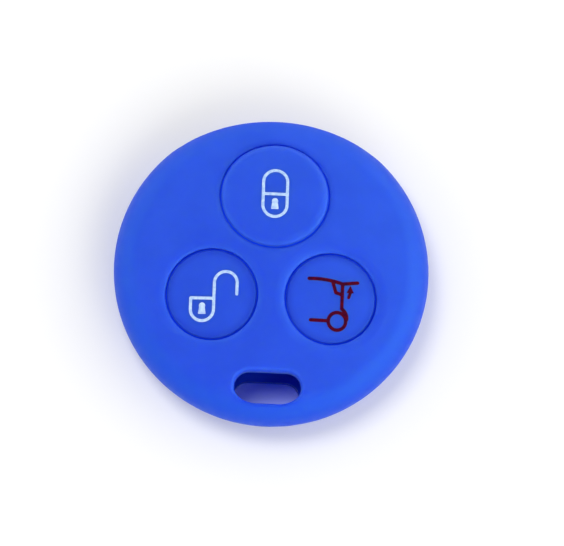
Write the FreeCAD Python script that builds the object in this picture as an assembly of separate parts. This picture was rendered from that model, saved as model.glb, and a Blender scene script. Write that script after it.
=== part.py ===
import FreeCAD, Part
import math
import os

# Silicone key fob cover: a round sleeve with three press pads, a mouth and a key-ring slot.
# Millimetres. The back lies on Z = 0 and +Z points out of the button face. +Y points to the mouth
# that the fob goes in by, -Y to the key-ring slot. The origin is under the middle of the round back.

# Sleeve
cover_diameter = 44.0
rim_height = 4.6  # back to the widest line, and the radius of the back edge
front_edge_radius = 4.5
dome_rise = 1.9  # crown of the front above the top of its edge radius
wall = 1.7

# Mouth in the rim
mouth_width = 29.2
mouth_height = 4.3
mouth_corner_radius = 2.0
mouth_drop = 0.35  # middle of the mouth below the widest line
mouth_land = 0.45  # how far the flattened lips run past each end of the mouth
mouth_setback = 1.1  # middle of the lips behind the round outline

# Key-ring slot through front and back
slot_width = 9.2
slot_height = 4.3
slot_corner_radius = 2.05
slot_margin = 2.5  # slot's outer side to the round outline
slot_front_round = 0.4
slot_back_round = 0.4

# Press pads, square to the dome, with their middles on one circle
ligament_margin_share = 0.53  # skin between two wells, in the skin from the lock pad's well to the outline
groove = 0.25
lock_pad_diameter = 14.85
lock_pad_raise = 0.5  # above the dome
lock_pad_round = 1.3
lock_well_round = 0.25
small_pad_diameter = 12.4
small_pad_recess = 0.45  # below the dome
small_pad_round = 0.2
small_well_round = 0.7
flare_lift = 0.02  # end of a well's rounding above the dome, so that the two meet at a clean edge
ligament_round_share = 0.45  # most of the skin between two wells that one well's rounding may take

# Webs that carry the pads: cones that rise from the well's wall to the pad's side
lock_web_thickness = 1.2
small_web_thickness = 0.8
web_rise = 0.25
web_clearance = 0.03

# Symbols set into the pads
stroke = 0.46
inlay_depth = 0.3
inlay_proud = 0.05
keyhole_head_diameter = 0.9
keyhole_height = 1.62
keyhole_base_width = 1.1
keyhole_neck_width = 0.72
keyhole_gap = 0.6  # crossbar to the top of the keyhole

lock_symbol_width = 3.34
lock_symbol_height = 6.8
lock_bar_drop = 0.1  # pad's middle down to the bar across the symbol

unlock_body_width = 3.2
unlock_body_height = 3.15
unlock_bar_drop = 0.62  # pad's middle down to the bar across the body
unlock_body_shift = 1.25  # pad's middle left to the body's middle
unlock_shackle_radius = 1.57
unlock_shackle_rise = 2.23  # bar up to the middle of the shackle's bend
unlock_shackle_drop = 1.55  # free leg, from the middle of the bend down

boot_symbol_size = 7.0
boot_wheel_diameter = 2.44
boot_arrow_length = 1.71
boot_arrow_lean = 0.2  # tail to the left of the tip
boot_arrow_head = 1.05
# Places on the boot sign, right and up from the pad's middle, as shares of the sign's size
roof_start_share = (-0.45, 0.385)
roof_middle_share = (-0.09, 0.375)
roof_end_share = (0.22, 0.31)
spoiler_end_share = (0.52, 0.35)
pillar_end_share = (0.22, -0.19)
bumper_middle_share = (0.31, -0.27)
bumper_end_share = (0.34, -0.40)
window_start_share = (0.02, 0.35)
window_corner_share = (0.09, 0.13)
window_end_share = (0.22, 0.09)
wheel_middle_share = (0.135, -0.44)
sill_start_share = (-0.39, -0.44)
arrow_tail_share = (0.35, 0.043)

# Cutting and finding
overrun = 1.0  # how far a cutter passes what it cuts
tolerance = 0.001  # most that an edge may lie off a surface it belongs to
edge_sample_shares = (0.0, 0.3, 0.7)  # where along an edge it is tested

# What the sizes above settle
SQRT_3 = math.sqrt(3)  # side of a triangle of pads over the radius of their circle
cover_radius = cover_diameter / 2
cover_height = rim_height + front_edge_radius + dome_rise
back_flat_radius = cover_radius - rim_height
front_edge_middle = cover_radius - front_edge_radius
front_rise = front_edge_radius + dome_rise
dome_radius = (front_edge_middle**2 + front_rise**2 - front_edge_radius**2) / (2 * dome_rise)
dome_middle = cover_height - dome_radius
ceiling_radius = dome_radius - wall
lock_well_radius = lock_pad_diameter / 2 + groove
small_well_radius = small_pad_diameter / 2 + groove
wells_across = lock_well_radius + small_well_radius
lock_reach = cover_radius - lock_well_radius
pad_pitch_radius = (wells_across + ligament_margin_share * lock_reach) / (SQRT_3 + ligament_margin_share)
ligament = pad_pitch_radius * SQRT_3 - wells_across
pad_tilt = math.degrees(math.asin(pad_pitch_radius / dome_radius))
slot_middle = cover_radius - slot_margin - slot_height / 2

Z_AXIS = FreeCAD.Vector(0, 0, 1)
ORIGIN = FreeCAD.Vector(0, 0, 0)


def in_section(radius, height):
    """A point of a turned section: distance from the axis, and height along it."""
    return FreeCAD.Vector(radius, 0, height)


def in_plan(right, up):
    """A point of a flat outline, seen from above."""
    return FreeCAD.Vector(right, up, 0)


def line(start, end):
    return Part.LineSegment(start, end).toShape()


def arc_about(plane, middle, radius, from_degrees, to_degrees):
    """An arc in the plane of a section or of an outline."""
    points = []
    for degrees in (from_degrees, (from_degrees + to_degrees) / 2, to_degrees):
        turn = math.radians(degrees)
        points.append(middle + plane(radius * math.cos(turn), radius * math.sin(turn)))
    return Part.Arc(*points).toShape()


def turned(edges):
    """The solid that a closed section leaves when it turns once about the Z axis."""
    return Part.Face(Part.Wire(edges)).revolve(ORIGIN, Z_AXIS, 360)


def lens(inset):
    """The sleeve's round form, drawn in on all sides by inset."""
    edge_degrees = math.degrees(math.atan2(rim_height - dome_middle, front_edge_middle))
    back_middle = in_section(back_flat_radius, rim_height)
    front_middle = in_section(front_edge_middle, rim_height)
    foot = in_section(0, inset)
    return turned([
        line(foot, in_section(back_flat_radius, inset)),
        arc_about(in_section, back_middle, rim_height - inset, -90, 0),
        arc_about(in_section, front_middle, front_edge_radius - inset, 0, edge_degrees),
        arc_about(in_section, in_section(0, dome_middle), dome_radius - inset, edge_degrees, 90),
        line(in_section(0, cover_height - inset), foot),
    ])


def rounded_rectangle(width, height, radius):
    """A face in plan with its middle at the origin."""
    radius = min(radius, width / 2, height / 2)
    across = width / 2 - radius
    up = height / 2 - radius
    middles = [in_plan(across, up), in_plan(-across, up), in_plan(-across, -up), in_plan(across, -up)]
    edges = []
    for corner, middle in enumerate(middles):
        turn = 90 * corner
        edges.append(arc_about(in_plan, middle, radius, turn, turn + 90))
        following = middles[(corner + 1) % len(middles)]
        if (following - middle).Length > tolerance:
            turn_end = math.radians(turn + 90)
            side = in_plan(radius * math.cos(turn_end), radius * math.sin(turn_end))
            edges.append(line(middle + side, following + side))
    return Part.Face(Part.Wire(edges))


def edges_where(solid, first, second):
    """The edges of a solid that lie on two given shapes at once."""
    found = []
    for edge in solid.Edges:
        span = edge.LastParameter - edge.FirstParameter
        points = [edge.valueAt(edge.FirstParameter + span * share) for share in edge_sample_shares]
        gaps = [Part.Vertex(point).distToShape(shape)[0] for point in points for shape in (first, second)]
        if max(gaps) < tolerance:
            found.append(edge)
    return found


def on_dome(shape, degrees):
    """A copy of a shape made about the Z axis, with the dome's middle as origin, moved to a pad's place."""
    turn = math.radians(degrees)
    tilt = FreeCAD.Rotation(FreeCAD.Vector(-math.sin(turn), math.cos(turn), 0), pad_tilt)
    placed = shape.copy()
    placed.Placement = FreeCAD.Placement(FreeCAD.Vector(0, 0, dome_middle), tilt)
    return placed


def sphere_height(sphere_radius, radius):
    """Height of a sphere about the origin at a distance from the Z axis."""
    return math.sqrt(sphere_radius**2 - radius**2)


def sphere_arc(sphere_radius, from_radius, to_radius):
    """An arc of a section over a sphere about the origin."""
    from_degrees = math.degrees(math.acos(from_radius / sphere_radius))
    to_degrees = math.degrees(math.acos(to_radius / sphere_radius))
    return arc_about(in_section, ORIGIN, sphere_radius, from_degrees, to_degrees)


def well_cutter(pad_radius, rounding):
    """A hole for a pad, with a mouth that flares out to the dome as a rounded edge does."""
    well_radius = pad_radius + groove
    foot = ceiling_radius - wall
    top = dome_radius + overrun
    flare_sphere = dome_radius + flare_lift
    flare_radius = well_radius + rounding
    flare_middle = in_section(flare_radius, sphere_height(flare_sphere - rounding, flare_radius))
    flare_degrees = math.degrees(math.atan2(flare_middle.z, flare_middle.x))
    flare_end = flare_middle * (flare_sphere / (flare_sphere - rounding))
    return turned([
        line(in_section(0, foot), in_section(well_radius, foot)),
        line(in_section(well_radius, foot), in_section(well_radius, flare_middle.z)),
        arc_about(in_section, flare_middle, rounding, 180, flare_degrees),
        line(flare_end, in_section(flare_end.x, top)),
        line(in_section(flare_end.x, top), in_section(0, top)),
        line(in_section(0, top), in_section(0, foot)),
    ])


def slot_cutter():
    face = rounded_rectangle(slot_width, slot_height, slot_corner_radius)
    face.translate(FreeCAD.Vector(0, -slot_middle, -overrun))
    return face.extrude(FreeCAD.Vector(0, 0, cover_height + 2 * overrun))


def mouth_cutter():
    """A flat slot from the middle of the pocket out through the rim."""
    face = rounded_rectangle(mouth_width, mouth_height, mouth_corner_radius)
    face.rotate(ORIGIN, FreeCAD.Vector(1, 0, 0), 90)
    face.translate(FreeCAD.Vector(0, 0, rim_height - mouth_drop))
    return face.extrude(FreeCAD.Vector(0, cover_radius + overrun, 0))


def lip_envelope():
    """An upright cylinder that flattens the rim over the mouth and clears the rest of the sleeve."""
    half_chord = mouth_width / 2 + mouth_land
    lip_middle = cover_radius - mouth_setback
    lip_bow = lip_middle - math.sqrt(cover_radius**2 - half_chord**2)
    radius = (half_chord**2 + lip_bow**2) / (2 * lip_bow)
    foot = FreeCAD.Vector(0, lip_middle - radius, -overrun)
    return Part.makeCylinder(radius, cover_height + 2 * overrun, foot)


def cover_skin():
    round_form = lens(0)
    surface = round_form.Shells[0]
    body = round_form.common(lip_envelope())
    for name, pad_radius, degrees in pads:
        rounding = min(well_rounds[name], ligament * ligament_round_share)
        body = body.cut(on_dome(well_cutter(pad_radius, rounding), degrees))
    slot = slot_cutter()
    body = body.cut(slot)
    rim = edges_where(body, surface, slot.Shells[0])
    body = body.makeFillet(slot_front_round, [edge for edge in rim if edge.CenterOfMass.z > rim_height])
    rim = edges_where(body, surface, slot.Shells[0])
    body = body.makeFillet(slot_back_round, [edge for edge in rim if edge.CenterOfMass.z < rim_height])
    body = body.cut(lens(wall))
    return body.cut(mouth_cutter())


def pad(radius, top_radius, edge_round):
    """A press pad about the Z axis, from the pocket's ceiling to its own crowned top."""
    foot = sphere_height(ceiling_radius, radius)
    edge_height = sphere_height(top_radius - edge_round, radius - edge_round)
    edge_middle = in_section(radius - edge_round, edge_height)
    edge_degrees = math.degrees(math.atan2(edge_height, edge_middle.x))
    top_edge = edge_middle.x * top_radius / (top_radius - edge_round)
    return turned([
        sphere_arc(ceiling_radius, 0, radius),
        line(in_section(radius, foot), in_section(radius, edge_height)),
        arc_about(in_section, edge_middle, edge_round, 0, edge_degrees),
        sphere_arc(top_radius, top_edge, 0),
        line(in_section(0, top_radius), in_section(0, ceiling_radius)),
    ])


def web(pad_radius, thickness):
    """The thin cone at the bottom of a groove, from the well's wall up to the pad's side."""
    outer = pad_radius + groove
    inner = pad_radius + web_clearance
    seat = sphere_height(ceiling_radius, outer)
    corners = [
        in_section(outer, seat),
        in_section(outer, seat + thickness),
        in_section(inner, seat + thickness + web_rise),
        in_section(inner, seat + web_rise),
    ]
    return turned([line(corners[i - 1], corners[i]) for i in range(len(corners))])


def ribbon(*edges):
    """A face along a bent path, as wide as the stroke and round at both ends."""
    return Part.Face(Part.Wire(list(edges)).makeOffset2D(stroke / 2, 0, False, False, False))


def bar(start, end):
    """A face along a straight path, as wide as the stroke and round at both ends."""
    length = (end - start).Length
    face = rounded_rectangle(length + stroke, stroke, stroke / 2)
    face.rotate(ORIGIN, Z_AXIS, math.degrees(math.atan2(end.y - start.y, end.x - start.x)))
    face.translate((start + end) * 0.5)
    return face


def disc(middle, diameter):
    return Part.Face(Part.Wire(Part.makeCircle(diameter / 2, middle)))


def keyhole(top):
    """A round head with a skirt that widens to its base, hung from the middle of its top."""
    head = top - in_plan(0, keyhole_head_diameter / 2)
    base = top - in_plan(0, keyhole_height)
    neck = in_plan(keyhole_neck_width / 2, 0)
    foot = in_plan(keyhole_base_width / 2, 0)
    skirt = Part.Face(Part.makePolygon([head - neck, base - foot, base + foot, head + neck, head - neck]))
    return [disc(head, keyhole_head_diameter), skirt]


def lock_outline():
    half = lock_symbol_width / 2
    outer = rounded_rectangle(lock_symbol_width + stroke, lock_symbol_height + stroke, half + stroke / 2)
    inner = rounded_rectangle(lock_symbol_width - stroke, lock_symbol_height - stroke, half - stroke / 2)
    return [outer.cut(inner), bar(in_plan(-half, -lock_bar_drop), in_plan(half, -lock_bar_drop))]


def lock_keyhole():
    return keyhole(in_plan(0, -lock_bar_drop - keyhole_gap))


def unlock_outline():
    half = unlock_body_width / 2
    left = -unlock_body_shift - half
    right = -unlock_body_shift + half
    bar_up = -unlock_bar_drop
    bowl_up = bar_up - unlock_body_height + half
    bend_up = bar_up + unlock_shackle_rise
    free = right + 2 * unlock_shackle_radius
    body_and_shackle = ribbon(
        line(in_plan(left, bar_up), in_plan(left, bowl_up)),
        arc_about(in_plan, in_plan(-unlock_body_shift, bowl_up), half, 180, 360),
        line(in_plan(right, bowl_up), in_plan(right, bend_up)),
        arc_about(in_plan, in_plan(right + unlock_shackle_radius, bend_up), unlock_shackle_radius, 180, 0),
        line(in_plan(free, bend_up), in_plan(free, bend_up - unlock_shackle_drop)),
    )
    return [body_and_shackle, bar(in_plan(left, bar_up), in_plan(right, bar_up))]


def unlock_keyhole():
    return keyhole(in_plan(-unlock_body_shift, -unlock_bar_drop - keyhole_gap))


def boot_place(share):
    return in_plan(share[0] * boot_symbol_size, share[1] * boot_symbol_size)


def boot_car():
    """The tail of a car with its wheel, its boot lid's edge and the side window."""
    roof_end = boot_place(roof_end_share)
    roof = Part.Arc(boot_place(roof_start_share), boot_place(roof_middle_share), roof_end).toShape()
    pillar_end = boot_place(pillar_end_share)
    bumper = Part.Arc(pillar_end, boot_place(bumper_middle_share), boot_place(bumper_end_share)).toShape()
    window_corner = boot_place(window_corner_share)
    window_back = line(boot_place(window_start_share), window_corner)
    window_foot = line(window_corner, boot_place(window_end_share))
    wheel = boot_place(wheel_middle_share)
    tyre = disc(wheel, boot_wheel_diameter + stroke).cut(disc(wheel, boot_wheel_diameter - stroke))
    return [
        ribbon(roof, line(roof_end, boot_place(spoiler_end_share))),
        ribbon(line(roof_end, pillar_end), bumper),
        ribbon(window_back, window_foot),
        tyre,
        bar(boot_place(sill_start_share), wheel - in_plan(boot_wheel_diameter / 2, 0)),
    ]


def boot_arrow():
    tail = boot_place(arrow_tail_share)
    tip = tail + in_plan(boot_arrow_lean, boot_arrow_length)
    shoulder = tip - in_plan(0, boot_arrow_head)
    half = in_plan(boot_arrow_head / 2, 0)
    head = Part.Face(Part.makePolygon([tip, shoulder - half, shoulder + half, tip]))
    return [bar(tail, shoulder), head]


def symbol_prism(faces, top_radius):
    """Upright walls on a symbol's outline, from the floor of its channel to above the pad's top."""
    floor = FreeCAD.Vector(0, 0, top_radius - inlay_depth)
    height = FreeCAD.Vector(0, 0, inlay_depth + overrun)
    prisms = []
    for face in faces:
        face.translate(floor)
        prisms.append(face.extrude(height))
    prism = prisms[0].multiFuse(prisms[1:])
    return prism.removeSplitter()


def button(name, pad_radius, degrees):
    """A pad with the channels for its symbol, its web, and the inlays that fill the channels."""
    top_radius = top_radii[name]
    face = pad(pad_radius, top_radius, pad_rounds[name])
    inlay_top = Part.makeSphere(top_radius + inlay_proud, ORIGIN, FreeCAD.Vector(1, 0, 0))
    shapes = {}
    for part_name, outline in symbols[name].items():
        prism = symbol_prism(outline(), top_radius)
        face = face.cut(prism)
        shapes[f"{name}_symbol_{part_name}"] = on_dome(prism.common(inlay_top), degrees)
    shapes[f"{name}_button"] = on_dome(face, degrees)
    shapes[f"{name}_button_web"] = on_dome(web(pad_radius, web_thicknesses[name]), degrees)
    return shapes


lock_pad_radius = lock_pad_diameter / 2
small_pad_radius = small_pad_diameter / 2
# Each pad's name, its radius and where it stands on the pitch circle, in degrees from +X
pads = [
    ("lock", lock_pad_radius, 90),
    ("unlock", small_pad_radius, 210),
    ("boot", small_pad_radius, 330),
]
top_radii = {
    "lock": dome_radius + lock_pad_raise,
    "unlock": dome_radius - small_pad_recess,
    "boot": dome_radius - small_pad_recess,
}
pad_rounds = {"lock": lock_pad_round, "unlock": small_pad_round, "boot": small_pad_round}
well_rounds = {"lock": lock_well_round, "unlock": small_well_round, "boot": small_well_round}
web_thicknesses = {"lock": lock_web_thickness, "unlock": small_web_thickness, "boot": small_web_thickness}
symbols = {
    "lock": {"outline": lock_outline, "keyhole": lock_keyhole},
    "unlock": {"outline": unlock_outline, "keyhole": unlock_keyhole},
    "boot": {"car": boot_car, "arrow": boot_arrow},
}

nodes = {"cover_skin": cover_skin()}
for pad_name, pad_radius, pad_degrees in pads:
    nodes.update(button(pad_name, pad_radius, pad_degrees))

os.makedirs("parts", exist_ok=True)
for node, shape in nodes.items():
    shape.exportStep(f"parts/{node}.step")
    print(node, shape.ShapeType, len(shape.Solids), shape.isValid(), round(shape.Volume, 3))
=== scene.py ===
import math
from collections import namedtuple

import bmesh
import bpy
from mathutils import Matrix, Vector


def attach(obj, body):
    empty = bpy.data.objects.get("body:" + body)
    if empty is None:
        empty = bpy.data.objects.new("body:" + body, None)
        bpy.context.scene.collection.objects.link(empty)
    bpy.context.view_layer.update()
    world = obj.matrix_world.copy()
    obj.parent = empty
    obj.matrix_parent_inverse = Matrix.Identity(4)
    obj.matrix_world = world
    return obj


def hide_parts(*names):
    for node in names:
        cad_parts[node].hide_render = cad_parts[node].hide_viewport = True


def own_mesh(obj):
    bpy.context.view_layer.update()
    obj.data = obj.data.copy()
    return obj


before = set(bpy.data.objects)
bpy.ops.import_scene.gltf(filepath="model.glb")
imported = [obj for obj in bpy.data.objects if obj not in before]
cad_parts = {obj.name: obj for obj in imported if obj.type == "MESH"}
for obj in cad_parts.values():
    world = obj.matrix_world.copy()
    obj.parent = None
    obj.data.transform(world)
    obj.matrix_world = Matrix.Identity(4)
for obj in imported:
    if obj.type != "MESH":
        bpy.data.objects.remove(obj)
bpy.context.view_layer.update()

MM = 0.001

# Sleeve, in millimetres as in the CAD source
COVER_RADIUS = 22.0
RIM_HEIGHT = 4.6
FRONT_EDGE_RADIUS = 4.5
DOME_RISE = 1.9
WALL = 1.7
COVER_HEIGHT = RIM_HEIGHT + FRONT_EDGE_RADIUS + DOME_RISE
BACK_FLAT_RADIUS = COVER_RADIUS - RIM_HEIGHT
FRONT_EDGE_MIDDLE = COVER_RADIUS - FRONT_EDGE_RADIUS
FRONT_RISE = FRONT_EDGE_RADIUS + DOME_RISE
DOME_RADIUS = (FRONT_EDGE_MIDDLE**2 + FRONT_RISE**2 - FRONT_EDGE_RADIUS**2) / (2 * DOME_RISE)
DOME_MIDDLE = COVER_HEIGHT - DOME_RADIUS
CEILING_RADIUS = DOME_RADIUS - WALL
INSIDE_DEPTH = 1.6  # depth under the outer form from which the skin has the finish of the inside, whose brighter blue is painted light

# Mouth and its flattened lips
MOUTH_WIDTH = 29.2
MOUTH_HEIGHT = 4.3
MOUTH_CORNER = 2.0
MOUTH_DROP = 0.35
MOUTH_LAND = 0.45
MOUTH_SETBACK = 1.1
MOUTH_EDGE_ROUND = 0.25
LIP_SOFTNESS = 0.12
LIP_HALF_CHORD = MOUTH_WIDTH / 2 + MOUTH_LAND
LIP_MIDDLE = COVER_RADIUS - MOUTH_SETBACK
LIP_BOW = LIP_MIDDLE - math.sqrt(COVER_RADIUS**2 - LIP_HALF_CHORD**2)
LIP_RADIUS = (LIP_HALF_CHORD**2 + LIP_BOW**2) / (2 * LIP_BOW)

# Key-ring slot
SLOT_WIDTH = 9.2
SLOT_HEIGHT = 4.3
SLOT_CORNER = 2.05
SLOT_NEAR_SWEEP = 3.1  # length along the slot of its two corners nearest the rim
SLOT_MARGIN = 2.5
SLOT_FRONT_ROUND = 0.65
SLOT_BACK_ROUND = 0.4
SLOT_MIDDLE = COVER_RADIUS - SLOT_MARGIN - SLOT_HEIGHT / 2

# Press pads, their wells and webs
GROOVE = 0.25
LOCK_PAD_RADIUS = 14.85 / 2
SMALL_PAD_RADIUS = 12.4 / 2
LIGAMENT_MARGIN_SHARE = 0.53
WELLS_ACROSS = LOCK_PAD_RADIUS + SMALL_PAD_RADIUS + 2 * GROOVE
LOCK_REACH = COVER_RADIUS - LOCK_PAD_RADIUS - GROOVE
PITCH = (WELLS_ACROSS + LIGAMENT_MARGIN_SHARE * LOCK_REACH) / (math.sqrt(3) + LIGAMENT_MARGIN_SHARE)
PAD_TILT = math.asin(PITCH / DOME_RADIUS)
FLARE_LIFT = 0.02  # end of a hole's rounding above the skin, so that the two meet at a clean edge
WEB_RISE = 0.25
WEB_CLEARANCE = 0.01

Pad = namedtuple("Pad", "radius degrees raised edge_width edge_drop well_width well_drop web_thickness")
LOCK_PAD = Pad(radius=LOCK_PAD_RADIUS, degrees=90, raised=0.49, edge_width=1.2, edge_drop=0.6,
               well_width=1.2, well_drop=0.3, web_thickness=1.2)
UNLOCK_PAD = Pad(radius=SMALL_PAD_RADIUS, degrees=210, raised=-0.55, edge_width=0.4, edge_drop=0.25,
                 well_width=1.9, well_drop=0.62, web_thickness=0.65)
PADS = {"lock": LOCK_PAD, "unlock": UNLOCK_PAD, "boot": UNLOCK_PAD._replace(degrees=330)}

# Symbols: strokes are round rods, pressed flat into low beads and set into the pads
STROKE = 0.46
BOOT_STROKE = 0.52
BEAD_FLATTENING = 0.36
BEAD_RISE = 0.055
BEAD_VOXEL = 0.045
BEAD_SMOOTHING_TURNS = 3
BEAD_SMOOTHING_SHARE = 0.5
ROD_SIDES = 16
ROD_END_RINGS = 10
ROD_BEND_SPACING = 0.15
ROD_BEND_LEAST_STEPS = 4
PLATE_ROUND_SHARE = 0.18
PLATE_ROUND_STEPS = 3
KEYHOLE_HEAD = 0.9 / 2
KEYHOLE_HEAD_STEPS = 24
KEYHOLE_HEIGHT = 1.62
KEYHOLE_FOOT = 1.1 / 2
KEYHOLE_NECK = 0.72 / 2
KEYHOLE_GAP = 0.6
LOCK_SYMBOL_WIDTH = 3.34
LOCK_SYMBOL_HEIGHT = 6.8
LOCK_BAR_DROP = 0.1
UNLOCK_BODY_WIDTH = 3.2
UNLOCK_BODY_HEIGHT = 3.15
UNLOCK_BAR_DROP = 0.62
UNLOCK_BODY_SHIFT = 1.25
UNLOCK_SHACKLE_RADIUS = 1.57
UNLOCK_SHACKLE_RISE = 2.23
UNLOCK_SHACKLE_DROP = 1.55
BOOT_SYMBOL_SIZE = 7.0
BOOT_WHEEL_RADIUS = 2.44 / 2
BOOT_ARROW_LENGTH = 1.71
BOOT_ARROW_LEAN = 0.2
BOOT_ARROW_HEAD = 1.05
# Places on the boot sign, right and up from the pad's middle, as shares of the sign's size
ROOF_START_SHARE = (-0.45, 0.385)
ROOF_MIDDLE_SHARE = (-0.09, 0.375)
ROOF_END_SHARE = (0.22, 0.31)
SPOILER_END_SHARE = (0.52, 0.35)
PILLAR_END_SHARE = (0.22, -0.19)
BUMPER_MIDDLE_SHARE = (0.30, -0.27)
BUMPER_END_SHARE = (0.325, -0.40)
WINDOW_SHARES = ((0.02, 0.35), (0.09, 0.13), (0.22, 0.09))
WHEEL_MIDDLE_SHARE = (0.135, -0.44)
SILL_START_SHARE = (-0.39, -0.44)
ARROW_TAIL_SHARE = (0.35, 0.043)

# How finely the meshes are divided, how far cutters pass what they cut, and how close points merge
SPIN_STEPS = 192
POCKET_SPIN_STEPS = 128
PAD_SPIN_STEPS = 128
DOME_STEPS = 18
EDGE_STEPS = 22
POCKET_DOME_STEPS = 14
POCKET_EDGE_STEPS = 12
BACK_RING_SHARES = (0.75, 0.5, 0.25, 0)
CORNER_STEPS = 12
STRAIGHT_SPACING = 0.7
STRAIGHT_LEAST_STEPS = 2
SHOULDER_STEPS = 16
PAD_CROWN_STEPS = 10
PAD_FOOT_STEPS = 8
SLOT_BACK_STEPS = 6
SLOT_FRONT_STEPS = 10
MOUTH_EDGE_STEPS = 8
SHARP_DEGREES = 42
OVERRUN = 1.0
MOUTH_CUT_START = 3.0
MOUTH_OVERRUN = 2.0
SAME_POINT = 1e-6
SPIN_MERGE = 1e-5
WELD_METRES = 1e-7


# Plane geometry

def arc_points(middle, radius, start_degrees, end_degrees, steps):
    """Points along an arc of a section, both ends among them."""
    points = []
    for step in range(steps + 1):
        turn = math.radians(start_degrees + (end_degrees - start_degrees) * step / steps)
        points.append((middle[0] + radius * math.cos(turn), middle[1] + radius * math.sin(turn)))
    return points


def sphere_height(sphere_radius, distance):
    return math.sqrt(sphere_radius**2 - distance**2)


def crown_points(sphere_radius, start, end, steps):
    """Points of a section over a sphere about the origin, at even distances from the axis."""
    points = []
    for step in range(steps + 1):
        distance = start + (end - start) * step / steps
        points.append((distance, sphere_height(sphere_radius, distance)))
    return points


def shoulder_points(sphere_radius, foot, width, drop):
    """Points of a soft shoulder, from its steep foot to where it runs out level into a sphere."""
    points = []
    for step in range(SHOULDER_STEPS + 1):
        turn = math.pi / 2 * step / SHOULDER_STEPS
        distance = foot + width * (1 - math.cos(turn))
        points.append((distance, sphere_height(sphere_radius, distance) - drop * (1 - math.sin(turn))))
    return points


def joined(*runs):
    """Runs of section points in one line, without the doubled points where they meet."""
    line = []
    for run in runs:
        for point in run:
            if not line or math.dist(point, line[-1]) > SAME_POINT:
                line.append(point)
    return line


def rounded_outline(width, height, corner, lower_sweep, grow):
    """Points round a rectangle, drawn out by grow, whose two lower corners are as long as their sweep."""
    corners = ((1, 1, 0), (-1, 1, 90), (-1, -1, 180), (1, -1, 270))
    runs = []
    for across, up, degrees in corners:
        sweep = corner if up > 0 else lower_sweep
        stretch = (sweep + grow) / (corner + grow)
        middle = (across * (width / 2 - sweep), up * (height / 2 - corner))
        bend = arc_points((0, 0), corner + grow, degrees, degrees + 90, CORNER_STEPS)
        runs.append([(middle[0] + x * stretch, middle[1] + y) for x, y in bend])
    points = []
    for number, run in enumerate(runs):
        points += run
        start, end = Vector(run[-1]), Vector(runs[(number + 1) % len(runs)][0])
        steps = max(STRAIGHT_LEAST_STEPS, round((end - start).length / STRAIGHT_SPACING))
        points += [tuple(start.lerp(end, step / steps)) for step in range(1, steps)]
    return points


def arc_through(first, second, third):
    """Middle, radius and end angles of the arc through three places."""
    (ax, ay), (bx, by), (cx, cy) = first, second, third
    area = 2 * (ax * (by - cy) + bx * (cy - ay) + cx * (ay - by))
    a, b, c = ax**2 + ay**2, bx**2 + by**2, cx**2 + cy**2
    x = (a * (by - cy) + b * (cy - ay) + c * (ay - by)) / area
    y = (a * (cx - bx) + b * (ax - cx) + c * (bx - ax)) / area
    start = math.degrees(math.atan2(ay - y, ax - x))
    end = math.degrees(math.atan2(cy - y, cx - x))
    sweep = (end - start + 180) % 360 - 180
    return (x, y), math.hypot(ax - x, ay - y), start, start + sweep


# The sleeve's outer form

def lens_section(inset, dome_steps, edge_steps):
    """Half a section of the sleeve's round form, from the crown to the middle of the back."""
    junction = math.degrees(math.atan2(RIM_HEIGHT - DOME_MIDDLE, FRONT_EDGE_MIDDLE))
    dome = arc_points((0, DOME_MIDDLE), DOME_RADIUS - inset, 90, junction, dome_steps)
    front = arc_points((FRONT_EDGE_MIDDLE, RIM_HEIGHT), FRONT_EDGE_RADIUS - inset, junction, 0, edge_steps)
    back = arc_points((BACK_FLAT_RADIUS, RIM_HEIGHT), RIM_HEIGHT - inset, 0, -90, edge_steps)
    flat = [(BACK_FLAT_RADIUS * share, inset) for share in BACK_RING_SHARES]
    return joined([(0, dome[0][1])], dome[1:], front, back, flat)


def front_height(x, y):
    """Height of the sleeve's front over a place in plan."""
    distance = math.hypot(x, y)
    junction = FRONT_EDGE_MIDDLE * DOME_RADIUS / (DOME_RADIUS - FRONT_EDGE_RADIUS)
    if distance < junction:
        return DOME_MIDDLE + sphere_height(DOME_RADIUS, distance)
    return RIM_HEIGHT + sphere_height(FRONT_EDGE_RADIUS, min(distance - FRONT_EDGE_MIDDLE, FRONT_EDGE_RADIUS))


def back_height(x, y):
    """Height of the sleeve's back over a place in plan."""
    distance = math.hypot(x, y)
    if distance < BACK_FLAT_RADIUS:
        return 0.0
    return RIM_HEIGHT - sphere_height(RIM_HEIGHT, min(distance - BACK_FLAT_RADIUS, RIM_HEIGHT))


def soft_least(first, second, softness):
    """The lesser of two lengths, with the change from one to the other rounded off."""
    mix = max(softness - abs(first - second), 0) / softness
    return min(first, second) - mix * mix * softness / 4


def flatten_lips(bm):
    """Draws the rim back to the bow of the lips, with soft edges."""
    middle = Vector((0, LIP_MIDDLE - LIP_RADIUS, 0))
    for vert in bm.verts:
        out = Vector((vert.co.x, vert.co.y, 0)) - middle
        if vert.co.y > 0 and out.length > LIP_RADIUS - LIP_SOFTNESS:
            drawn = soft_least(out.length, LIP_RADIUS, LIP_SOFTNESS)
            vert.co.x = middle.x + out.x * drawn / out.length
            vert.co.y = middle.y + out.y * drawn / out.length


def lip_depth(x, z):
    """How far out along Y the sleeve's rim, lips flattened, reaches at a place of the mouth."""
    edge = FRONT_EDGE_RADIUS if z > RIM_HEIGHT else RIM_HEIGHT
    reach = COVER_RADIUS - edge + sphere_height(edge, min(abs(z - RIM_HEIGHT), edge))
    rim = math.sqrt(max(reach**2 - x**2, 0))
    lips = LIP_MIDDLE - LIP_RADIUS + sphere_height(LIP_RADIUS, x)
    return soft_least(rim, lips, LIP_SOFTNESS)


# Meshes

def mesh_object(bm, name):
    mesh = bpy.data.meshes.new(name)
    bm.to_mesh(mesh)
    bm.free()
    piece = bpy.data.objects.new(name, mesh)
    bpy.context.scene.collection.objects.link(piece)
    return piece


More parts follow.
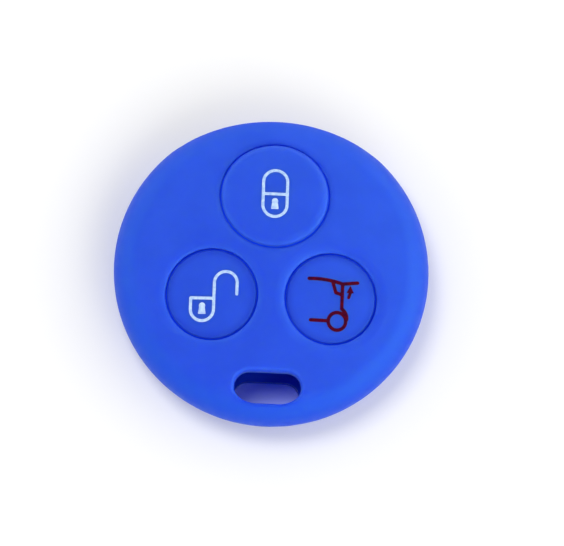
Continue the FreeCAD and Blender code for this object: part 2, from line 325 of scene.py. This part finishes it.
def turned(section, steps):
    """A closed solid of millimetres from a section that turns once about the Z axis."""
    bm = bmesh.new()
    verts = [bm.verts.new((distance, 0, height)) for distance, height in section]
    edges = [bm.edges.new(pair) for pair in zip(verts, verts[1:])]
    if section[0][0] > SAME_POINT:
        edges.append(bm.edges.new((verts[-1], verts[0])))
    bmesh.ops.spin(bm, geom=verts + edges, cent=(0, 0, 0), axis=(0, 0, 1), dvec=(0, 0, 0),
                   angle=2 * math.pi, steps=steps, use_merge=True)
    bmesh.ops.remove_doubles(bm, verts=bm.verts, dist=SPIN_MERGE)
    bmesh.ops.recalc_face_normals(bm, faces=bm.faces)
    return bm


def tunnel(rings):
    """A closed solid through rings of as many points each, capped at both ends."""
    bm = bmesh.new()
    first = bmesh.ops.create_circle(bm, cap_ends=False, segments=len(rings[0]), radius=1)["verts"]
    for vert, place in zip(first, rings[0]):
        vert.co = place
    loop = list(bm.edges)
    bmesh.ops.contextual_create(bm, geom=loop)
    for ring in rings[1:]:
        grown = bmesh.ops.extrude_edge_only(bm, edges=loop)["geom"]
        verts = [item for item in grown if isinstance(item, bmesh.types.BMVert)]
        loop = [item for item in grown if isinstance(item, bmesh.types.BMEdge)]
        for vert, place in zip(verts, ring):
            vert.co = place
    bmesh.ops.contextual_create(bm, geom=loop)
    bmesh.ops.recalc_face_normals(bm, faces=bm.faces)
    return bm


def in_metres(bm, place=None):
    """Puts a mesh of millimetres in its place and scales it to metres."""
    if place is not None:
        bmesh.ops.transform(bm, matrix=place, verts=bm.verts)
    bmesh.ops.scale(bm, vec=(MM, MM, MM), verts=bm.verts)
    return bm


def made_plain(piece):
    """Replaces a piece's mesh by what its modifiers make of it."""
    graph = bpy.context.evaluated_depsgraph_get()
    made = bpy.data.meshes.new_from_object(piece.evaluated_get(graph))
    piece.modifiers.clear()
    piece.data = made


def cut(piece, cutter):
    """Takes the cutter's solid out of a piece and throws the cutter away."""
    tool = mesh_object(in_metres(cutter), "cutter")
    change = piece.modifiers.new("cut", "BOOLEAN")
    change.operation = "DIFFERENCE"
    change.solver = "EXACT"
    change.object = tool
    made_plain(piece)
    bpy.data.objects.remove(tool)


def smooth_shading(piece):
    """Merges what a cut left doubled, and shades the piece smooth up to its sharp edges."""
    bm = bmesh.new()
    bm.from_mesh(piece.data)
    bmesh.ops.remove_doubles(bm, verts=bm.verts, dist=WELD_METRES)
    bmesh.ops.dissolve_degenerate(bm, edges=bm.edges, dist=WELD_METRES)
    for face in bm.faces:
        face.smooth = True
    bm.to_mesh(piece.data)
    bm.free()
    piece.data.set_sharp_from_angle(angle=math.radians(SHARP_DEGREES))


def pad_place(degrees):
    """From a pad's own frame, with the dome's middle as origin and its axis along Z, to the cover's."""
    turn = math.radians(degrees)
    tilt = Matrix.Rotation(PAD_TILT, 4, Vector((-math.sin(turn), math.cos(turn), 0)))
    return Matrix.Translation((0, 0, DOME_MIDDLE)) @ tilt


# The skin of the cover

def flare_steps(rounding, count):
    """How far a rounded edge stands out from its hole, and how far below the surface, step by step."""
    steps = []
    for step in range(count + 1):
        turn = math.pi / 2 * step / count
        steps.append((rounding * (1 - math.cos(turn)), rounding * (1 - math.sin(turn)) - FLARE_LIFT))
    return steps


def slot_cutter():
    def ring(grow, height):
        outline = rounded_outline(SLOT_WIDTH, SLOT_HEIGHT, SLOT_CORNER, SLOT_NEAR_SWEEP, grow)
        places = [(x, y - SLOT_MIDDLE) for x, y in outline]
        return [(x, y, height(x, y)) for x, y in places]

    rings = [ring(SLOT_BACK_ROUND, lambda x, y: -OVERRUN)]
    for grow, depth in reversed(flare_steps(SLOT_BACK_ROUND, SLOT_BACK_STEPS)):
        rings.append(ring(grow, lambda x, y, depth=depth: back_height(x, y) + depth))
    for grow, depth in flare_steps(SLOT_FRONT_ROUND, SLOT_FRONT_STEPS):
        rings.append(ring(grow, lambda x, y, depth=depth: front_height(x, y) - depth))
    rings.append(ring(SLOT_FRONT_ROUND, lambda x, y: COVER_HEIGHT + OVERRUN))
    return tunnel(rings)


def mouth_cutter():
    def ring(grow, reach):
        outline = rounded_outline(MOUTH_WIDTH, MOUTH_HEIGHT, MOUTH_CORNER, MOUTH_CORNER, grow)
        places = [(x, RIM_HEIGHT - MOUTH_DROP + up) for x, up in outline]
        return [(x, reach(x, z), z) for x, z in places]

    rings = [ring(0, lambda x, z: MOUTH_CUT_START)]
    for grow, depth in flare_steps(MOUTH_EDGE_ROUND, MOUTH_EDGE_STEPS):
        rings.append(ring(grow, lambda x, z, depth=depth: lip_depth(x, z) - depth))
    rings.append(ring(MOUTH_EDGE_ROUND, lambda x, z: COVER_RADIUS + MOUTH_OVERRUN))
    return tunnel(rings)


def well_cutter(pad):
    well = pad.radius + GROOVE
    foot = CEILING_RADIUS - WALL
    flare = shoulder_points(DOME_RADIUS + FLARE_LIFT, well, pad.well_width, pad.well_drop)
    top = DOME_RADIUS + OVERRUN
    section = joined([(0, foot), (well, foot)], flare, [(flare[-1][0], top), (0, top)])
    return turned(section, PAD_SPIN_STEPS)


def cover_skin():
    outer = turned(lens_section(0, DOME_STEPS, EDGE_STEPS), SPIN_STEPS)
    flatten_lips(outer)
    piece = mesh_object(in_metres(outer), "cover_moulding")
    cut(piece, turned(lens_section(WALL, POCKET_DOME_STEPS, POCKET_EDGE_STEPS), POCKET_SPIN_STEPS))
    for pad in PADS.values():
        cutter = well_cutter(pad)
        bmesh.ops.transform(cutter, matrix=pad_place(pad.degrees), verts=cutter.verts)
        cut(piece, cutter)
    cut(piece, slot_cutter())
    cut(piece, mouth_cutter())
    smooth_shading(piece)
    weigh = piece.modifiers.new("even_normals", "WEIGHTED_NORMAL")
    weigh.mode = "FACE_AREA"
    weigh.keep_sharp = True
    return piece


def mark_inside(piece):
    """Gives the second finish to the faces that lie well inside the sleeve's outer form."""
    middle = Vector((0, LIP_MIDDLE - LIP_RADIUS))
    for face in piece.data.polygons:
        x, y, z = face.center / MM
        from_lips = LIP_RADIUS - (Vector((x, y)) - middle).length
        depth = min(front_height(x, y) - z, z - back_height(x, y), from_lips)
        face.material_index = 1 if depth > INSIDE_DEPTH else 0


# Pads and webs

def press_pad(name):
    """A pad with a domed top, a soft shoulder and straight sides down to the sleeve's ceiling."""
    pad = PADS[name]
    top = DOME_RADIUS + pad.raised
    crown = crown_points(top, 0, pad.radius - pad.edge_width, PAD_CROWN_STEPS)
    shoulder = reversed(shoulder_points(top, pad.radius, -pad.edge_width, pad.edge_drop))
    foot = sphere_height(CEILING_RADIUS, pad.radius)
    under = crown_points(CEILING_RADIUS, pad.radius, 0, PAD_FOOT_STEPS)
    section = joined(crown, shoulder, [(pad.radius, foot)], under)
    solid = in_metres(turned(section, PAD_SPIN_STEPS), pad_place(pad.degrees))
    piece = mesh_object(solid, name + "_press_pad")
    smooth_shading(piece)
    return piece


def groove_web(name):
    """The thin ring that carries a pad, and the point of its axis that stays still when it is pressed."""
    pad = PADS[name]
    outer = pad.radius + GROOVE
    inner = pad.radius + WEB_CLEARANCE
    seat = sphere_height(CEILING_RADIUS, outer)
    middle = (outer + inner) / 2
    rise = WEB_RISE / 2
    section = [
        (outer, seat),
        (outer, seat + pad.web_thickness),
        (middle, seat + pad.web_thickness + rise),
        (inner, seat + pad.web_thickness + WEB_RISE),
        (inner, seat + WEB_RISE),
        (middle, seat + rise),
    ]
    solid = in_metres(turned(section, PAD_SPIN_STEPS), pad_place(pad.degrees))
    piece = mesh_object(solid, name + "_groove_web")
    smooth_shading(piece)
    anchor = pad_place(pad.degrees) @ Vector((0, 0, seat)) * MM
    return piece, anchor


# Beads of the symbols, as round rods before they are pressed flat

def bead_end(bm, place, stroke):
    bmesh.ops.create_uvsphere(bm, u_segments=ROD_SIDES, v_segments=ROD_END_RINGS, radius=stroke / 2,
                              matrix=Matrix.Translation((place[0], place[1], 0)))


def bead_line(bm, *places, stroke=STROKE):
    """A rod along straight runs, round at its ends and corners."""
    for start, end in zip(places, places[1:]):
        along = Vector((end[0] - start[0], end[1] - start[1], 0))
        middle = Vector(((start[0] + end[0]) / 2, (start[1] + end[1]) / 2, 0))
        turn = along.to_track_quat("Z", "Y").to_matrix().to_4x4()
        bmesh.ops.create_cone(bm, cap_ends=True, segments=ROD_SIDES, radius1=stroke / 2, radius2=stroke / 2,
                              depth=along.length, matrix=Matrix.Translation(middle) @ turn)
    for place in places:
        bead_end(bm, place, stroke)


def bead_arc(bm, middle, radius, start_degrees, end_degrees, stroke=STROKE):
    """A rod along an arc, round at its ends."""
    start = math.radians(start_degrees)
    sweep = math.radians(end_degrees - start_degrees)
    out = Vector((math.cos(start), math.sin(start), 0))
    place = Matrix.Translation(Vector((middle[0], middle[1], 0)) + out * radius)
    stand = Matrix.Rotation(start, 4, "Z") @ Matrix.Rotation(math.pi / 2, 4, "X")
    ring = bmesh.ops.create_circle(bm, cap_ends=True, segments=ROD_SIDES, radius=stroke / 2,
                                   matrix=place @ stand)["verts"]
    faces = {face for vert in ring for face in vert.link_faces}
    steps = max(ROD_BEND_LEAST_STEPS, round(abs(sweep) * radius / ROD_BEND_SPACING))
    bmesh.ops.spin(bm, geom=list(faces), cent=(middle[0], middle[1], 0), axis=(0, 0, 1), dvec=(0, 0, 0),
                   angle=sweep, steps=steps, use_merge=False)
    for turn in (start, start + sweep):
        bead_end(bm, (middle[0] + radius * math.cos(turn), middle[1] + radius * math.sin(turn)), stroke)


def bead_plate(bm, outline):
    """A plate as thick as a rod, with rounded edges."""
    verts = [bm.verts.new((x, y, -STROKE / 2)) for x, y in outline]
    face = bm.faces.new(verts)
    grown = bmesh.ops.extrude_face_region(bm, geom=[face])["geom"]
    top = [item for item in grown if isinstance(item, bmesh.types.BMVert)]
    bmesh.ops.translate(bm, vec=(0, 0, STROKE), verts=top)
    edges = list({edge for vert in verts + top for edge in vert.link_edges})
    bmesh.ops.bevel(bm, geom=edges, offset=STROKE * PLATE_ROUND_SHARE, offset_type="OFFSET", affect="EDGES",
                    segments=PLATE_ROUND_STEPS, profile=0.5, material=-1)


def keyhole(bm, x, y):
    """A round head over a skirt that widens to its base, hung from the middle of a padlock's crossbar."""
    top = y - KEYHOLE_GAP
    head = (x, top - KEYHOLE_HEAD)
    rim = arc_points(head, KEYHOLE_HEAD, 0, 360, KEYHOLE_HEAD_STEPS)
    bead_plate(bm, rim[:-1])
    base = top - KEYHOLE_HEIGHT
    bead_plate(bm, [(x - KEYHOLE_FOOT, base), (x + KEYHOLE_FOOT, base),
                    (x + KEYHOLE_NECK, head[1]), (x - KEYHOLE_NECK, head[1])])


def lock_outline(bm):
    half = LOCK_SYMBOL_WIDTH / 2
    rise = LOCK_SYMBOL_HEIGHT / 2 - half
    bead_line(bm, (-half, -rise), (-half, rise))
    bead_line(bm, (half, -rise), (half, rise))
    bead_arc(bm, (0, rise), half, 0, 180)
    bead_arc(bm, (0, -rise), half, 180, 360)
    bead_line(bm, (-half, -LOCK_BAR_DROP), (half, -LOCK_BAR_DROP))


def lock_keyhole(bm):
    keyhole(bm, 0, -LOCK_BAR_DROP)


def unlock_outline(bm):
    half = UNLOCK_BODY_WIDTH / 2
    left, right = -UNLOCK_BODY_SHIFT - half, -UNLOCK_BODY_SHIFT + half
    bar_up = -UNLOCK_BAR_DROP
    bowl_up = bar_up - UNLOCK_BODY_HEIGHT + half
    bend_up = bar_up + UNLOCK_SHACKLE_RISE
    free = right + 2 * UNLOCK_SHACKLE_RADIUS
    bead_line(bm, (right, bar_up), (left, bar_up), (left, bowl_up))
    bead_arc(bm, (-UNLOCK_BODY_SHIFT, bowl_up), half, 180, 360)
    bead_line(bm, (right, bowl_up), (right, bend_up))
    bead_arc(bm, (right + UNLOCK_SHACKLE_RADIUS, bend_up), UNLOCK_SHACKLE_RADIUS, 180, 0)
    bead_line(bm, (free, bend_up), (free, bend_up - UNLOCK_SHACKLE_DROP))


def unlock_keyhole(bm):
    keyhole(bm, -UNLOCK_BODY_SHIFT, -UNLOCK_BAR_DROP)


def boot_place(share):
    """A place on the boot sign, from its shares of the sign's size."""
    return (share[0] * BOOT_SYMBOL_SIZE, share[1] * BOOT_SYMBOL_SIZE)


def boot_car(bm):
    """The tail of a car with its lid, window, bumper, sill and wheel."""
    roof_end = boot_place(ROOF_END_SHARE)
    roof = arc_through(boot_place(ROOF_START_SHARE), boot_place(ROOF_MIDDLE_SHARE), roof_end)
    bead_arc(bm, *roof, stroke=BOOT_STROKE)
    bead_line(bm, roof_end, boot_place(SPOILER_END_SHARE), stroke=BOOT_STROKE)
    pillar_end = boot_place(PILLAR_END_SHARE)
    bead_line(bm, roof_end, pillar_end, stroke=BOOT_STROKE)
    bumper = arc_through(pillar_end, boot_place(BUMPER_MIDDLE_SHARE), boot_place(BUMPER_END_SHARE))
    bead_arc(bm, *bumper, stroke=BOOT_STROKE)
    window = [boot_place(share) for share in WINDOW_SHARES]
    bead_line(bm, *window, stroke=BOOT_STROKE)
    wheel = boot_place(WHEEL_MIDDLE_SHARE)
    bead_arc(bm, wheel, BOOT_WHEEL_RADIUS, 0, 180, stroke=BOOT_STROKE)
    bead_arc(bm, wheel, BOOT_WHEEL_RADIUS, 180, 360, stroke=BOOT_STROKE)
    sill_end = (wheel[0] - BOOT_WHEEL_RADIUS, wheel[1])
    bead_line(bm, boot_place(SILL_START_SHARE), sill_end, stroke=BOOT_STROKE)


def boot_arrow(bm):
    tail = boot_place(ARROW_TAIL_SHARE)
    tip = (tail[0] + BOOT_ARROW_LEAN, tail[1] + BOOT_ARROW_LENGTH)
    shoulder = (tip[0], tip[1] - BOOT_ARROW_HEAD)
    half = BOOT_ARROW_HEAD / 2
    bead_line(bm, tail, shoulder)
    bead_plate(bm, [tip, (shoulder[0] - half, shoulder[1]), (shoulder[0] + half, shoulder[1])])


def symbol(name, draw, piece_name):
    """Rods run together, pressed flat and laid on the crown of a pad."""
    pad = PADS[name]
    rods = bmesh.new()
    draw(rods)
    bmesh.ops.recalc_face_normals(rods, faces=rods.faces)
    piece = mesh_object(rods, piece_name)
    melt = piece.modifiers.new("melt", "REMESH")
    melt.mode = "VOXEL"
    melt.voxel_size = BEAD_VOXEL
    made_plain(piece)
    bm = bmesh.new()
    bm.from_mesh(piece.data)
    for _ in range(BEAD_SMOOTHING_TURNS):
        bmesh.ops.smooth_vert(bm, verts=bm.verts, factor=BEAD_SMOOTHING_SHARE, use_axis_x=True,
                              use_axis_y=True, use_axis_z=True)
    top = DOME_RADIUS + pad.raised
    sunk = BEAD_RISE - STROKE / 2 * BEAD_FLATTENING
    for vert in bm.verts:
        crown = sphere_height(top, math.hypot(vert.co.x, vert.co.y))
        vert.co.z = crown + sunk + vert.co.z * BEAD_FLATTENING
    in_metres(bm, pad_place(pad.degrees))
    for face in bm.faces:
        face.smooth = True
    bm.to_mesh(piece.data)
    bm.free()
    return piece


# Finishes, with lengths in millimetres; a mottling is drawn out from its least and most noise values

Mottling = namedtuple("Mottling", "size detail least most")
Grain = namedtuple("Grain", "size strength depth")
GRAIN_DETAIL = 3

SILICONE_CLOUDS = Mottling(size=4.0, detail=4, least=0.3, most=0.7)
SILICONE_DULLNESS = Mottling(size=1.2, detail=5, least=0.25, most=0.75)
SILICONE_ROUGHNESS = (0.40, 0.52)
SILICONE_GRAIN = Grain(size=0.16, strength=0.35, depth=0.02)
SILICONE_SPECULAR = 0.75
SILICONE_SPECULAR_TINT = (0.15, 0.80, 0.80, 1)
SILICONE_SHEEN = 0.03
SILICONE_SHEEN_ROUGHNESS = 0.5
SILICONE_SHEEN_TINT = (0.15, 0.60, 0.30, 1)
SCATTER_REACH = 1.8
SCATTER_SHARES = (0.06, 0.10, 1.0)  # of that reach, for red, green and blue light
BLUE_DEEP = (0.0295, 0.0915, 0.75, 1)
BLUE_PALE = (0.0325, 0.0995, 0.79, 1)
# painted shade: from here out to the rim the skin turns a deeper blue, damping the rim's light and gloss
RIM_SHADE_START = 18.0
RIM_PAINTED_SHADE_BLUE = (0.008, 0.060, 0.735, 1)
# painted shade: a sunk pad turns a deeper blue over its outer edge, where its well shades it
PAD_SHADE_WIDTH = 1.3
PAD_PAINTED_SHADE_BLUE = (0.019, 0.058, 0.65, 1)
# painted light: the webs and the inside have a brighter blue than the skin, lifting the shade in the grooves
# and the slot
WEB_GLOW_DEEP = (0.010, 0.070, 0.95, 1)
WEB_GLOW_PALE = (0.013, 0.080, 0.98, 1)

INK_COVER = Mottling(size=0.5, detail=4, least=0.3, most=0.7)
INK_DULLNESS = Mottling(size=0.3, detail=3, least=0.25, most=0.75)
INK_ROUGHNESS = (0.45, 0.65)
INK_GRAIN = Grain(size=0.12, strength=0.4, depth=0.015)
INK_SPECULAR = 0.04
WHITE_STRONG = (0.61, 0.78, 1.0, 1)
WHITE_WEAK = (0.36, 0.55, 0.95, 1)
RED_STRONG = (0.112, 0.001, 0.008, 1)
RED_WEAK = (0.04, 0.001, 0.022, 1)

TABLE_OPEN = (1.03, 1.03, 1.03, 1)
# painted light: the table turns blue under the cover, for light that comes through the silicone
TABLE_PAINTED_BLUE_LIGHT = (0.74, 0.87, 1.90, 1)
UNDER_COVER_RADIUS = 18.2
OPEN_TABLE_RADIUS = 20.4
TABLE_LIGHTING = (0.70, 0.70, 0.70, 1)


def principled(name):
    material = bpy.data.materials.new(name)
    material.use_nodes = True
    return material, material.node_tree.nodes, material.node_tree.links


def noise(nodes, links, size, detail):
    """Even mottling with patches of about a size in millimetres."""
    place = nodes.new("ShaderNodeTexCoord")
    pattern = nodes.new("ShaderNodeTexNoise")
    pattern.inputs["Scale"].default_value = 1 / (size * MM)
    pattern.inputs["Detail"].default_value = detail
    links.new(place.outputs["Object"], pattern.inputs["Vector"])
    return pattern.outputs["Fac"]


def between(nodes, links, value, least, most, out_least, out_most):
    """A value drawn out from one range to another, and kept inside it."""
    draw = nodes.new("ShaderNodeMapRange")
    draw.interpolation_type = "SMOOTHSTEP"
    draw.inputs["From Min"].default_value = least
    draw.inputs["From Max"].default_value = most
    draw.inputs["To Min"].default_value = out_least
    draw.inputs["To Max"].default_value = out_most
    links.new(value, draw.inputs["Value"])
    return draw.outputs["Result"]


def mottled(nodes, links, mottling, out_least, out_most):
    """A value that changes in patches, from the least to the most that it may be."""
    patches = noise(nodes, links, mottling.size, mottling.detail)
    return between(nodes, links, patches, mottling.least, mottling.most, out_least, out_most)


def tinted(nodes, links, share, first, second):
    """A colour that goes from the first to the second as a share goes from nought to one."""
    mix = nodes.new("ShaderNodeMix")
    mix.data_type = "RGBA"
    links.new(share, mix.inputs[0])
    for socket, colour in ((mix.inputs[6], first), (mix.inputs[7], second)):
        if isinstance(colour, tuple):
            socket.default_value = colour
        else:
            links.new(colour, socket)
    return mix.outputs[2]


def add_grain(nodes, links, shader, grain):
    """Fine moulded grain on the surface."""
    bump = nodes.new("ShaderNodeBump")
    bump.inputs["Strength"].default_value = grain.strength
    bump.inputs["Distance"].default_value = grain.depth * MM
    links.new(noise(nodes, links, grain.size, GRAIN_DETAIL), bump.inputs["Height"])
    links.new(bump.outputs["Normal"], shader.inputs["Normal"])


def share_from_axis(nodes, links, frame_place, start, end):
    """Nought up to a first distance from a frame's Z axis, in millimetres, and one from a second on."""
    place = nodes.new("ShaderNodeTexCoord")
    own = nodes.new("ShaderNodeMapping")
    own.vector_type = "TEXTURE"
    own.inputs["Location"].default_value = frame_place.translation * MM
    own.inputs["Rotation"].default_value = frame_place.to_euler()
    flat = nodes.new("ShaderNodeVectorMath")
    flat.operation = "MULTIPLY"
    flat.inputs[1].default_value = (1, 1, 0)
    reach = nodes.new("ShaderNodeVectorMath")
    reach.operation = "LENGTH"
    links.new(place.outputs["Object"], own.inputs["Vector"])
    links.new(own.outputs["Vector"], flat.inputs[0])
    links.new(flat.outputs[0], reach.inputs[0])
    return between(nodes, links, reach.outputs["Value"], start * MM, end * MM, 0, 1)


def silicone_finish(name, deep, pale):
    """Matt coloured silicone: faint mottling, uneven dullness and a fine moulded grain."""
    material, nodes, links = principled(name)
    shader = nodes["Principled BSDF"]
    shader.inputs["Specular IOR Level"].default_value = SILICONE_SPECULAR
    shader.inputs["Specular Tint"].default_value = SILICONE_SPECULAR_TINT
    shader.inputs["Sheen Weight"].default_value = SILICONE_SHEEN
    shader.inputs["Sheen Roughness"].default_value = SILICONE_SHEEN_ROUGHNESS
    shader.inputs["Sheen Tint"].default_value = SILICONE_SHEEN_TINT
    clouds = mottled(nodes, links, SILICONE_CLOUDS, 0, 1)
    colour = tinted(nodes, links, clouds, deep, pale)
    links.new(mottled(nodes, links, SILICONE_DULLNESS, *SILICONE_ROUGHNESS), shader.inputs["Roughness"])
    add_grain(nodes, links, shader, SILICONE_GRAIN)
    return material, nodes, links, shader, colour


def blue_silicone(name, frame_place, edge_start, edge_end, painted_shade_colour):
    """Blue silicone that turns to a painted shade away from the Z axis of a frame."""
    material, nodes, links, shader, colour = silicone_finish(name, BLUE_DEEP, BLUE_PALE)
    edge = share_from_axis(nodes, links, frame_place, edge_start, edge_end)
    links.new(tinted(nodes, links, edge, colour, painted_shade_colour), shader.inputs["Base Color"])
    shader.inputs["Subsurface Weight"].default_value = 1.0
    shader.inputs["Subsurface Radius"].default_value = SCATTER_SHARES
    shader.inputs["Subsurface Scale"].default_value = SCATTER_REACH * MM
    return material


def small_pad_blue(name):
    """The blue of a sunk pad, with painted shade towards its edge where its well shades it."""
    pad = PADS[name]
    place = pad_place(pad.degrees)
    edge_start = pad.radius - PAD_SHADE_WIDTH
    return blue_silicone(f"blue_silicone_{name}_pad", place, edge_start, pad.radius + GROOVE, PAD_PAINTED_SHADE_BLUE)


def blue_web():
    """The brighter blue of the sleeve's inside and of the webs, with no light scattered within it: painted
    light that lifts their shade.
    """
    material, nodes, links, shader, colour = silicone_finish("blue_silicone_web", WEB_GLOW_DEEP, WEB_GLOW_PALE)
    links.new(colour, shader.inputs["Base Color"])
    return material


def symbol_ink(name, strong, weak):
    """Coloured silicone of a symbol, laid on a little unevenly."""
    material, nodes, links = principled(name)
    shader = nodes["Principled BSDF"]
    shader.inputs["Specular IOR Level"].default_value = INK_SPECULAR
    cover = mottled(nodes, links, INK_COVER, 0, 1)
    links.new(tinted(nodes, links, cover, weak, strong), shader.inputs["Base Color"])
    links.new(mottled(nodes, links, INK_DULLNESS, *INK_ROUGHNESS), shader.inputs["Roughness"])
    add_grain(nodes, links, shader, INK_GRAIN)
    return material


def plainly_seen(nodes):
    """One for what the camera sees straight on, and nought for light on its way."""
    return nodes.new("ShaderNodeLightPath").outputs["Is Camera Ray"]


def table_top():
    """A pale table with painted blue light under the cover, standing in for light that comes through the
    silicone.
    """
    material, nodes, links = principled("pale_table")
    nodes.remove(nodes["Principled BSDF"])
    seen = nodes.new("ShaderNodeBsdfDiffuse")
    clear = share_from_axis(nodes, links, Matrix(), UNDER_COVER_RADIUS, OPEN_TABLE_RADIUS)
    links.new(tinted(nodes, links, clear, TABLE_PAINTED_BLUE_LIGHT, TABLE_OPEN), seen.inputs["Color"])
    lighting = nodes.new("ShaderNodeBsdfDiffuse")
    lighting.inputs["Color"].default_value = TABLE_LIGHTING
    choose = nodes.new("ShaderNodeMixShader")
    links.new(plainly_seen(nodes), choose.inputs[0])
    links.new(lighting.outputs[0], choose.inputs[1])
    links.new(seen.outputs[0], choose.inputs[2])
    links.new(choose.outputs[0], nodes["Material Output"].inputs["Surface"])
    return material


# The cover, piece by piece

def finish_piece(piece, material, body, node):
    piece.data.materials.clear()
    piece.data.materials.append(material)
    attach(piece, body)
    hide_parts(node)


# the skin's blue deepens towards its rim: painted shade
blue = blue_silicone("blue_silicone_skin", Matrix(), RIM_SHADE_START, COVER_RADIUS, RIM_PAINTED_SHADE_BLUE)
pad_blues = {"lock": blue, "unlock": small_pad_blue("unlock"), "boot": small_pad_blue("boot")}
web_blue = blue_web()
white = symbol_ink("white_silicone_symbol", WHITE_STRONG, WHITE_WEAK)
red = symbol_ink("red_silicone_symbol", RED_STRONG, RED_WEAK)

skin = cover_skin()
finish_piece(skin, blue, "cover", "cover_skin")
skin.data.materials.append(web_blue)
mark_inside(skin)

SYMBOLS = {
    "lock": {"outline": lock_outline, "keyhole": lock_keyhole},
    "unlock": {"outline": unlock_outline, "keyhole": unlock_keyhole},
    "boot": {"car": boot_car, "arrow": boot_arrow},
}
for name, parts in SYMBOLS.items():
    finish_piece(press_pad(name), pad_blues[name], name + "_button", name + "_button")
    web, anchor = groove_web(name)
    finish_piece(web, web_blue, "cover", name + "_button_web")
    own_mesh(web)
    ink, slot = (red, "red_silicone") if name == "boot" else (white, "white_silicone")
    for part, draw in parts.items():
        node = f"{name}_symbol_{part}"
        finish_piece(symbol(name, draw, f"{name}_bead_{part}"), ink, name + "_button", node)

# Camera, in metres, with its lens and sensor in millimetres

CAMERA_DISTANCE = 0.5
CAMERA_TILT = math.radians(13.31)
CAMERA_TURN = math.radians(-6.38)
CAMERA_ROLL = math.radians(2.11)
CAMERA_LENS = 228.8
CAMERA_SENSOR = 36
CAMERA_AIM = Vector((0, 0, 0.0055))
CAMERA_ASIDE = 0.00146
CAMERA_DOWN = 0.00042
TO_CAMERA = Vector((math.sin(CAMERA_TURN) * math.sin(CAMERA_TILT),
                    -math.cos(CAMERA_TURN) * math.sin(CAMERA_TILT),
                    math.cos(CAMERA_TILT)))


def photo_camera():
    level = Vector((TO_CAMERA.z, 0, -TO_CAMERA.x)).normalized()
    rise = TO_CAMERA.cross(level)
    right = level * math.cos(CAMERA_ROLL) + rise * math.sin(CAMERA_ROLL)
    up = rise * math.cos(CAMERA_ROLL) - level * math.sin(CAMERA_ROLL)
    camera = bpy.data.objects.new("camera", bpy.data.cameras.new("camera"))
    bpy.context.scene.collection.objects.link(camera)
    camera.data.lens = CAMERA_LENS
    camera.data.sensor_width = CAMERA_SENSOR
    place = CAMERA_AIM + TO_CAMERA * CAMERA_DISTANCE + right * CAMERA_ASIDE - up * CAMERA_DOWN
    turn = Matrix((right, up, TO_CAMERA)).transposed()
    camera.matrix_world = Matrix.Translation(place) @ turn.to_4x4()
    return camera


bpy.context.scene.camera = photo_camera()

# Table and light, with lengths in metres

TABLE_HALF_SIDE = 2.0
TABLE_DROP = 0.00002
TENT_LEVEL = 1.12
TENT_ENDS = 0.64
TENT_AXIS = (0.94, -0.34, 0)
TENT_LEAN = (0.40, -0.12, 0)
TENT_HOLE_EDGE = math.radians(20)
TENT_HOLE_BLUR = math.radians(16)
BACKDROP_SEEN = 1.0

Lamp = namedtuple("Lamp", "place width power")
LAMPS = {
    "key_lamp": Lamp(place=(-0.20, 0.16, 0.65), width=0.3, power=1.6),
    "front_panel": Lamp(place=(0.22, -0.41, 0.39), width=0.36, power=0.6),
}


def pale_table():
    bm = bmesh.new()
    bmesh.ops.create_grid(bm, x_segments=1, y_segments=1, size=TABLE_HALF_SIDE,
                          matrix=Matrix.Translation((0, 0, -TABLE_DROP)))
    table = mesh_object(bm, "table")
    table.data.materials.append(table_top())
    return table


def studio_tent():
    """Light from all round, strongest from the tent's two ends, and dark where the camera looks in."""
    world = bpy.data.worlds.new("studio_tent")
    world.use_nodes = True
    nodes, links = world.node_tree.nodes, world.node_tree.links
    direction = nodes.new("ShaderNodeTexCoord").outputs["Generated"]

    def along(axis):
        dot = nodes.new("ShaderNodeVectorMath")
        dot.operation = "DOT_PRODUCT"
        dot.inputs[1].default_value = axis
        links.new(direction, dot.inputs[0])
        return dot.outputs["Value"]

    def combine(operation, *values):
        made = nodes.new("ShaderNodeMath")
        made.operation = operation
        for socket, value in zip(made.inputs, values):
            if isinstance(value, float):
                socket.default_value = value
            else:
                links.new(value, socket)
        return made.outputs[0]

    up, across = along((0, 0, 1)), along(TENT_AXIS)
    sides = combine("MULTIPLY_ADD", combine("MULTIPLY", up, up), -TENT_LEVEL, TENT_LEVEL)
    ends = combine("MULTIPLY_ADD", combine("MULTIPLY", across, across), TENT_ENDS, sides)
    cloth = combine("MAXIMUM", combine("ADD", ends, along(TENT_LEAN)), 0.0)
    hole = between(nodes, links, along(tuple(TO_CAMERA)), math.cos(TENT_HOLE_EDGE + TENT_HOLE_BLUR),
                   math.cos(TENT_HOLE_EDGE), 1, 0)
    seen = nodes.new("ShaderNodeMix")
    seen.data_type = "FLOAT"
    seen.inputs["B"].default_value = BACKDROP_SEEN
    links.new(plainly_seen(nodes), seen.inputs["Factor"])
    links.new(combine("MULTIPLY", cloth, hole), seen.inputs["A"])
    links.new(seen.outputs["Result"], nodes["Background"].inputs["Strength"])
    nodes["Background"].inputs["Color"].default_value = (1, 1, 1, 1)
    return world


def soft_lamp(name, lamp):
    """A square lamp that faces the cover and doesn't show in its gloss."""
    light = bpy.data.lights.new(name, "AREA")
    light.size = lamp.width
    light.energy = lamp.power
    holder = bpy.data.objects.new(name, light)
    bpy.context.scene.collection.objects.link(holder)
    holder.location = lamp.place
    holder.rotation_euler = (-Vector(lamp.place)).to_track_quat("-Z", "Y").to_euler()
    holder.visible_glossy = False


table = pale_table()
bpy.context.scene.world = studio_tent()
for name, lamp in LAMPS.items():
    soft_lamp(name, lamp)

bpy.context.scene.view_settings.view_transform = "Standard"
